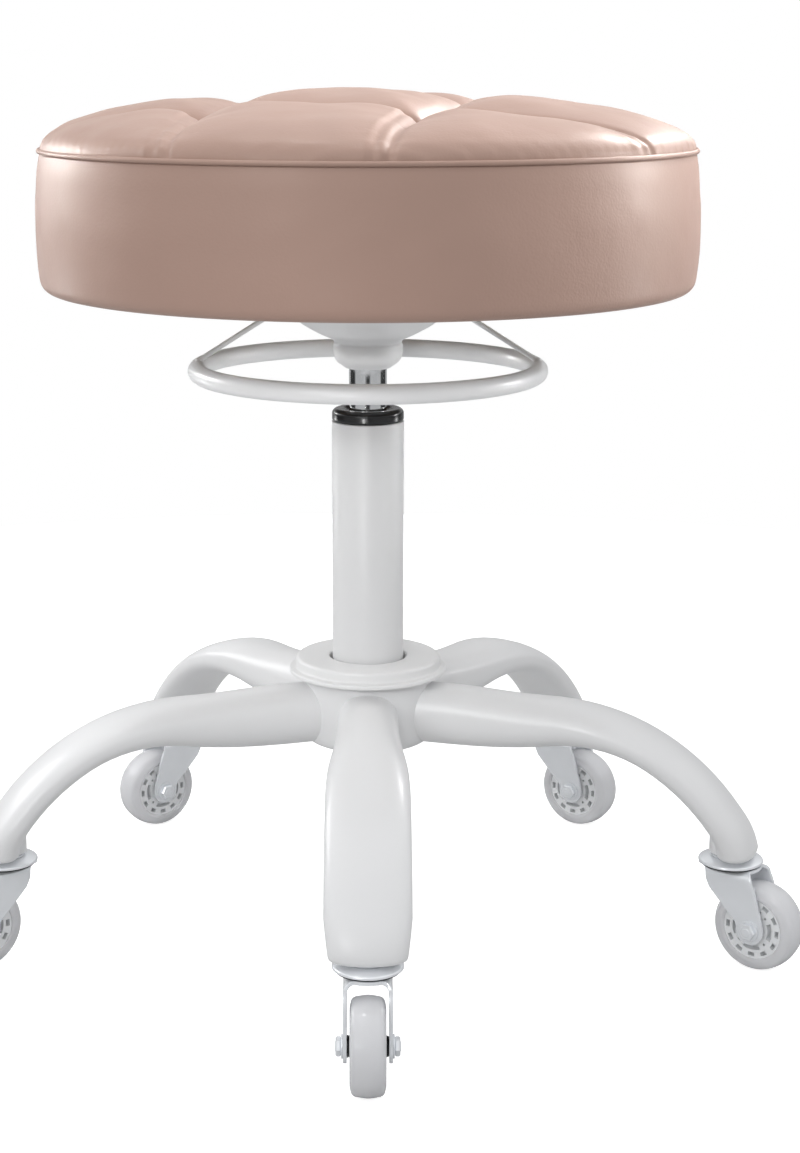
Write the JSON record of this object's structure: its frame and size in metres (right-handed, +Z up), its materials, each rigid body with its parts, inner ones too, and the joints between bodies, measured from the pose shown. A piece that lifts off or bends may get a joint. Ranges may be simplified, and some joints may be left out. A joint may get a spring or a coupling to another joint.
{
  "type": "rolling stool",
  "caption": "Round padded stool with a tufted top on a gas-lift column, a ring-shaped height release under the seat and a curved star base on swivel casters.",
  "frame": {"origin": "the point of the floor under the lift axis", "axes": "+Z up along the lift axis, -Y towards the front leg, X to the right of the front"},
  "size_m": [0.5324, 0.4954, 0.535],
  "materials": {
    "leather_top": "gloss",
    "leather_band": "satin",
    "white_enamel": "gloss",
    "white_cap": "gloss",
    "column_enamel": "satin",
    "chrome": "polished",
    "zinc": "satin",
    "plate_steel": "satin",
    "inner_steel": "satin",
    "black_plastic": "satin",
    "rubber": "matte",
    "clear_tyre": "satin",
    "grey_core": "satin",
    "plywood": "matte",
    "foam": "matte",
    "dust_fabric": "matte",
    "brass": "satin"
  },
  "bodies": {
    "base": {"hub_body": "white_enamel", "hub_cover": "white_cap", "leg_front": "white_enamel", "leg_front_right": "white_enamel", "leg_back_right": "white_enamel", "leg_back_left": "white_enamel", "leg_front_left": "white_enamel", "caster_sockets": "black_plastic", "caster_stems": "zinc", "column_tube": "column_enamel", "guide_bush": "black_plastic", "race_lower": "inner_steel"},
    "bearing_cage": {"thrust_balls": "inner_steel"},
    "lift_rod": {"piston_rod": "inner_steel", "piston": "rubber", "race_upper": "inner_steel", "bump_stop": "rubber", "retaining_clip": "inner_steel"},
    "seat": {"gas_cylinder": "chrome", "cylinder_end": "black_plastic", "seat_plate": "plate_steel", "bell_housing": "white_enamel", "plate_bolts": "zinc", "tee_nuts": "zinc", "seat_board": "plywood", "seat_foam": "foam", "seat_top_cover": "leather_top", "seat_side_band": "leather_band", "seat_piping": "leather_band", "dust_cover": "dust_fabric"},
    "release": {"release_ring": "white_enamel", "ring_spokes": "white_enamel", "rocker_disc": "plate_steel"},
    "valve": {"valve_pin": "brass"},
    "caster_front": {"fork_front": "zinc", "axle_front": "zinc"},
    "wheel_front": {"tyre_front": "clear_tyre", "wheel_core_front": "grey_core", "wheel_bearings_front": "inner_steel"},
    "caster_front_right": {"fork_front_right": "zinc", "axle_front_right": "zinc"},
    "wheel_front_right": {"tyre_front_right": "clear_tyre", "wheel_core_front_right": "grey_core", "wheel_bearings_front_right": "inner_steel"},
    "caster_back_right": {"fork_back_right": "zinc", "axle_back_right": "zinc"},
    "wheel_back_right": {"tyre_back_right": "clear_tyre", "wheel_core_back_right": "grey_core", "wheel_bearings_back_right": "inner_steel"},
    "caster_back_left": {"fork_back_left": "zinc", "axle_back_left": "zinc"},
    "wheel_back_left": {"tyre_back_left": "clear_tyre", "wheel_core_back_left": "grey_core", "wheel_bearings_back_left": "inner_steel"},
    "caster_front_left": {"fork_front_left": "zinc", "axle_front_left": "zinc"},
    "wheel_front_left": {"tyre_front_left": "clear_tyre", "wheel_core_front_left": "grey_core", "wheel_bearings_front_left": "inner_steel"}
  },
  "joints": [
    {"name": "seat_swivel", "type": "hinge", "parent": "base", "child": "lift_rod", "pos_m": [0, 0, 0.1385], "axis": [0, 0, 1], "continuous": true},
    {"name": "bearing_roll", "type": "hinge", "parent": "base", "child": "bearing_cage", "pos_m": [0, 0, 0.1385], "axis": [0, 0, 1], "continuous": true},
    {"name": "seat_lift", "type": "slide", "parent": "lift_rod", "child": "seat", "axis": [0, 0, 1], "range_m": [0, 0.11]},
    {"name": "ring_tilt", "type": "hinge", "parent": "seat", "child": "release", "pos_m": [0, -0.025, 0.404], "axis": [-1, 0, 0], "range_deg": [0, 4], "stiffness_Nm_per_rad": 6, "springref_deg": -5.73},
    {"name": "valve_press", "type": "slide", "parent": "seat", "child": "valve", "axis": [0, 0, -1], "range_m": [0, 0.002]},
    {"name": "caster_swivel_front", "type": "hinge", "parent": "base", "child": "caster_front", "pos_m": [0, -0.236, 0.062], "axis": [0, 0, 1], "continuous": true},
    {"name": "wheel_spin_front", "type": "hinge", "parent": "caster_front", "child": "wheel_front", "pos_m": [0, -0.257, 0.0275], "axis": [1, 0, 0], "continuous": true},
    {"name": "caster_swivel_front_right", "type": "hinge", "parent": "base", "child": "caster_front_right", "pos_m": [0.22445, -0.07293, 0.062], "axis": [0, 0, 1], "continuous": true},
    {"name": "wheel_spin_front_right", "type": "hinge", "parent": "caster_front_right", "child": "wheel_front_right", "pos_m": [0.24122, -0.08557, 0.0275], "axis": [0.6018, 0.7986, 0], "continuous": true},
    {"name": "caster_swivel_back_right", "type": "hinge", "parent": "base", "child": "caster_back_right", "pos_m": [0.13872, 0.19093, 0.062], "axis": [0, 0, 1], "continuous": true},
    {"name": "wheel_spin_back_right", "type": "hinge", "parent": "caster_back_right", "child": "wheel_back_right", "pos_m": [0.15549, 0.17829, 0.0275], "axis": [0.6018, 0.7986, 0], "continuous": true},
    {"name": "caster_swivel_back_left", "type": "hinge", "parent": "base", "child": "caster_back_left", "pos_m": [-0.13872, 0.19093, 0.062], "axis": [0, 0, 1], "continuous": true},
    {"name": "wheel_spin_back_left", "type": "hinge", "parent": "caster_back_left", "child": "wheel_back_left", "pos_m": [-0.15549, 0.17829, 0.0275], "axis": [0.6018, -0.7986, 0], "continuous": true},
    {"name": "caster_swivel_front_left", "type": "hinge", "parent": "base", "child": "caster_front_left", "pos_m": [-0.22445, -0.07293, 0.062], "axis": [0, 0, 1], "continuous": true},
    {"name": "wheel_spin_front_left", "type": "hinge", "parent": "caster_front_left", "child": "wheel_front_left", "pos_m": [-0.24122, -0.08557, 0.0275], "axis": [0.6018, -0.7986, 0], "continuous": true}
  ],
  "couplings": [
    {"joint": "bearing_roll", "follows": "seat_swivel", "ratio": 0.5},
    {"joint": "valve_press", "follows": "ring_tilt", "m_per_rad": 0.0285}
  ]
}
